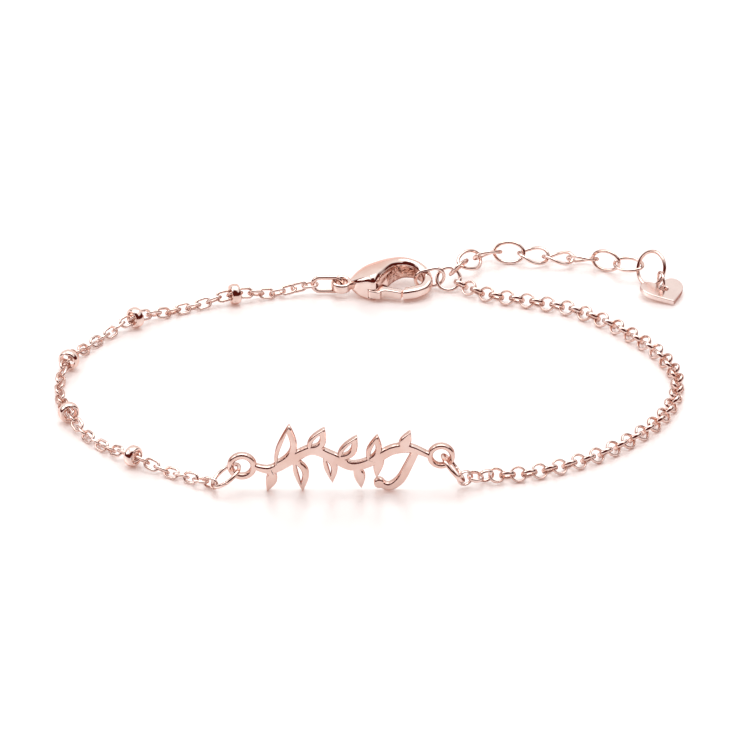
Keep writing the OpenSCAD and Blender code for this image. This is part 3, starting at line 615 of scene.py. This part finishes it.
def clasp_shell():
    """The hooked body.

    Each section runs from its outer edge over a superellipse to a ridge close to the inner edge,
    round a circular rim, down a slanting wall and a round foot, and back under an ellipse.
    """
    ribs = open_curve(CLASP_RIBS, RIB_STEPS)
    lean = math.radians(CLASP_LEAN)
    outer = np.stack([NECK + ribs[:, 0] * CLASP_L, ribs[:, 1] * CLASP_W], 1)
    inner = np.stack([NECK + ribs[:, 2] * CLASP_L, ribs[:, 3] * CLASP_W], 1)
    across = inner - outer
    width = np.linalg.norm(across, axis=1)[:, None]
    across = across / width
    high, level, power = ribs[:, 4:5] * CLASP_H, ribs[:, 5:6], ribs[:, 6:7]
    rim = np.minimum(ribs[:, 7:8], 0.45 * np.minimum(width, 2 * high))
    slant, crest = SLANT * level, width - rim - SLANT * level

    def top(t):
        y = outer[:, 1:] + across[:, 1:] * t
        lift = math.tan(lean) * np.maximum(LEVEL_FROM - y, 0)
        return high + level * (lift + RISE)

    q = np.linspace(0, np.pi / 2, DOME)[None, :]
    t_dome = crest * (1 - np.cos(q) ** (2 / power))
    z_dome = top(t_dome) * np.sin(q) ** (2 / power)
    q = np.linspace(0, np.pi / 2, ROLL + 1)[None, 1:]
    ridge = top(crest)
    t_rim = crest + rim * np.sin(q)
    z_rim = ridge - rim + rim * np.cos(q)
    down = np.linspace(0, 1, WALL + 1)[None, 1:]
    t_wall = width - slant * (1 - down)
    z_wall = (ridge - rim) + down * (rim - high - (ridge - rim))
    q = np.linspace(np.pi / 2, 0, FOOT + 1)[None, 1:]
    t_foot = width - rim + rim * np.sin(q)
    z_foot = -high + rim - rim * np.cos(q)
    q = np.linspace(np.pi / 2, 0, UNDER + 2)[None, 1:-1]
    t_under = (width - rim) * (1 - np.cos(q))
    z_under = -high * np.sin(q)
    t = np.concatenate([t_dome, t_rim, t_wall, t_foot, t_under], 1)
    z = np.concatenate([z_dome, z_rim, z_wall, z_foot, z_under], 1)
    xy = outer[:, None] + across[:, None] * t[..., None]
    lowest = -(CLASP_AT[2] - FLOOR_GAP + xy[..., 1] * math.sin(lean)) / math.cos(lean)
    points = np.concatenate([xy, np.maximum(z, lowest)[..., None]], -1)
    n, sides = points.shape[:2]
    ends = np.array([np.arange(sides), (n - 1) * sides + np.arange(sides)[::-1]])
    return points, [quads(n, sides, False, True)[:, ::-1], ends]


shell, shell_faces = clasp_shell()
clasp = new_piece("clasp_shell", clasp_place(shell.reshape(-1, 3)), shell_faces, polished)
# The wall inside the bow, from the rim to the middle of the foot, has a coarse cast grain in its bump and a
# painted mottle of reflections: near-white painted highlights clouded with dark red-brown painted shade
BOW_FROM, BOW_TO = 4 * RIB_STEPS, 10 * RIB_STEPS
WALL_FROM, WALL_TO = DOME + ROLL - 1, DOME + ROLL + WALL + FOOT // 2
clasp.data.materials.append(grain_and_painted_reflection)
row, column = np.divmod(np.arange((len(shell) - 1) * shell.shape[1]), shell.shape[1])
inside_bow = (row >= BOW_FROM) & (row < BOW_TO) & (column >= WALL_FROM) & (column < WALL_TO)
clasp.data.polygons.foreach_set(
    "material_index", np.concatenate([inside_bow, [False, False]]).astype(np.int32))
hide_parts("clasp_body")

# The slot in which the trigger swings: angles about the pivot, reach, round end, half height
SLOT_ANGLES, SLOT_REACH, SLOT_HUB, SLOT_HALF = (-92, 18), 3.5, 0.68, 0.5
s_from, s_to = np.radians(SLOT_ANGLES[0]), np.radians(SLOT_ANGLES[1])
fan = np.linspace(s_from, s_to, 9)
back = np.linspace(s_to + math.pi / 2, s_from - math.pi / 2 + 2 * math.pi, 9)
slot_line = PIVOT + np.concatenate([
    SLOT_REACH * np.stack([np.cos(fan), np.sin(fan)], 1),
    SLOT_HUB * np.stack([np.cos(back), np.sin(back)], 1)])
slot_top, slot_floor = flat_points(slot_line, SLOT_HALF), flat_points(slot_line, -SLOT_HALF)
k = len(slot_line)
i = np.arange(k)
slot_faces = [
    np.stack([i, i + k, (i + 1) % k + k, (i + 1) % k], 1), i[None], (i[::-1] + k)[None]]
cut_out(clasp, clasp_place(np.concatenate([slot_top, slot_floor])), slot_faces)

EYE_SIDES, EYE_STATIONS, EYE_POWER = 24, 72, 2.6
eye_section = ring_section((EYE_D - EYE_HOLE) / 4, EYE_T / 2, EYE_SIDES, EYE_POWER)
eye = stadium(EYE_D, EYE_D, eye_section, EYE_STATIONS)
eye_faces = quads(EYE_STATIONS, EYE_SIDES, True, True)[:, ::-1]
new_piece("clasp_eye", clasp_place(eye.reshape(-1, 3)), [eye_faces], polished)

# The trigger about its pivot, counter-clockwise: arm, hub, thumb nub and the front edge between
TRIGGER = np.array([
    [3.08, -1.10], [2.2, -0.72], [1.4, -0.42], [0.8, 0.0], [0.45, 0.4], [0.0, 0.56], [-0.4, 0.4],
    [-0.61, 0.0], [-0.575, -0.5], [-0.54, -0.86], [-0.42, -1.06], [-0.1, -1.24], [0.2, -1.36],
    [0.5, -1.45], [0.7, -1.38], [0.8, -1.22], [1.0, -1.16], [1.35, -1.18], [2.0, -1.42],
    [2.6, -1.68], [2.82, -1.74], [2.93, -1.5]])
TRIGGER_HALF, TRIGGER_BEVEL, TRIGGER_STEPS = 0.48, 0.14, 7

pin("clasp_rivet", "clasp_pin")

trigger, trigger_faces = loop_plate(closed_curve(TRIGGER, TRIGGER_STEPS), TRIGGER_HALF, TRIGGER_BEVEL)
trigger[:, :2] += PIVOT
clasp_trigger = new_piece(
    "clasp_trigger", clasp_place(trigger), trigger_faces, polished, body=LEVER_BODY)
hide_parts("clasp_lever")

# Stage
# Half the floor's width in metres
FLOOR = 3.0
floor_mesh = bpy.data.meshes.new("floor")
floor_mesh.from_pydata(
    [(-FLOOR, -FLOOR, 0), (FLOOR, -FLOOR, 0), (FLOOR, FLOOR, 0), (-FLOOR, FLOOR, 0)], [], [(0, 1, 2, 3)])
floor = bpy.data.objects.new("floor", floor_mesh)
bpy.context.scene.collection.objects.link(floor)
floor_paint = bpy.data.materials.new("gloss white floor with painted pink glow")
floor_paint.use_nodes = True
floor_shader = floor_paint.node_tree.nodes["Principled BSDF"]
# A painted pink glow: the floor glows pink though it is no lamp, so its shadows turn pink like light bounced
# from the rose gold. Its base is blue-green so that, with the glow, the open floor still reads white
floor_shader.inputs["Base Color"].default_value = (0.9, 0.94, 0.95, 1)
floor_shader.inputs["Metallic"].default_value = 0.24
floor_shader.inputs["Roughness"].default_value = 0.36
floor_shader.inputs["Emission Color"].default_value = (1.0, 0.6, 0.5, 1)
floor_shader.inputs["Emission Strength"].default_value = 0.2
floor_mesh.materials.append(floor_paint)

# Camera
DISTANCE, ELEVATION = 700.0, 28.0
PIXELS_PER_MM, FRAME_PIXELS, SENSOR = 9.8, 750, 36.0
e = math.radians(ELEVATION)
forward = np.array([0, math.cos(e), -math.sin(e)])
upward = np.array([0, math.sin(e), math.cos(e)])
# The middle of the wrist opening lies this many pixels left of and below the frame's middle
OPENING_LEFT, OPENING_LOW = 7, 8
target = np.array([OPENING_LEFT / PIXELS_PER_MM, 0, 0]) + OPENING_LOW / PIXELS_PER_MM * upward
camera_data = bpy.data.cameras.new("camera")
camera_data.sensor_width = SENSOR
camera_data.lens = PIXELS_PER_MM * DISTANCE * SENSOR / FRAME_PIXELS
camera_data.clip_start = 0.05
camera_data.clip_end = 10
camera = bpy.data.objects.new("camera", camera_data)
camera.location = Vector((target - DISTANCE * forward) * MM)
camera.rotation_euler = (math.radians(90 - ELEVATION), 0, 0)
bpy.context.scene.collection.objects.link(camera)
bpy.context.scene.camera = camera

# Light
world = bpy.data.worlds.new("studio")
bpy.context.scene.world = world
world.use_nodes = True
sky = world.node_tree
background = sky.nodes["Background"]
direction = add(sky, "ShaderNodeTexCoord", -1150, 0)
toward_camera = add(sky, "ShaderNodeVectorMath", -900, 200, operation="DOT_PRODUCT")
toward_camera.inputs[1].default_value = tuple(-forward)
sky.links.new(direction.outputs["Generated"], toward_camera.inputs[0])
axes_of_direction = add(sky, "ShaderNodeSeparateXYZ", -900, -100)
sky.links.new(direction.outputs["Generated"], axes_of_direction.inputs[0])


def fade(socket, low, high, at_low, at_high, y):
    """A smooth step in the studio's surroundings from at_low to at_high."""
    step = add(sky, "ShaderNodeMapRange", -660, y, interpolation_type="SMOOTHSTEP")
    for name, value in (("From Min", low), ("From Max", high), ("To Min", at_low), ("To Max", at_high)):
        step.inputs[name].default_value = value
    sky.links.new(socket, step.inputs["Value"])
    return step.outputs["Result"]


# Dim surroundings round the camera, in degrees from its direction, and low in front of the
# object and at its sides, from where to where they fade: upwards and backwards, as parts of a
# direction that is one long
PATCH_OUTER, PATCH_INNER = 46, 38
BAND_TOP, BAND_BACK = (0.5, 0.66), (0.34, 0.6)
LIT, DIM = (1.0, 0.99, 0.98, 1), (0.09, 0.012, 0.008, 1)
patch = fade(toward_camera.outputs["Value"], math.cos(math.radians(PATCH_OUTER)),
             math.cos(math.radians(PATCH_INNER)), 0.0, 1.0, 300)
band_height = fade(axes_of_direction.outputs["Z"], *BAND_TOP, 1.0, 0.0, 50)
band_front = fade(axes_of_direction.outputs["Y"], *BAND_BACK, 1.0, 0.0, -200)
band = add(sky, "ShaderNodeMath", -440, -60, operation="MULTIPLY")
sky.links.new(band_height, band.inputs[0])
sky.links.new(band_front, band.inputs[1])
dark = add(sky, "ShaderNodeMath", -260, 120, operation="MAXIMUM")
sky.links.new(patch, dark.inputs[0])
sky.links.new(band.outputs["Value"], dark.inputs[1])
tint = add(sky, "ShaderNodeMix", -80, 60, data_type="RGBA")
tint.inputs["A"].default_value = LIT
tint.inputs["B"].default_value = DIM
sky.links.new(dark.outputs["Value"], tint.inputs["Factor"])
sky.links.new(tint.outputs["Result"], background.inputs["Color"])
background.inputs["Strength"].default_value = 1.0


def soft_box(name, place, size, power):
    """A rectangular studio light, in metres and watts, that faces the middle of the floor."""
    data = bpy.data.lights.new(name, "AREA")
    data.shape = "RECTANGLE"
    data.size, data.size_y = size
    data.energy = power
    box = bpy.data.objects.new(name, data)
    box.location = place
    box.rotation_euler = (-Vector(place)).to_track_quat("-Z", "Y").to_euler()
    bpy.context.scene.collection.objects.link(box)


soft_box("top box", (0.0, 0.15, 0.6), (0.6, 0.4), 1.8)
soft_box("left box", (-0.5, 0.0, 0.35), (0.3, 0.3), 0.6)

bpy.context.scene.view_settings.view_transform = "Standard"
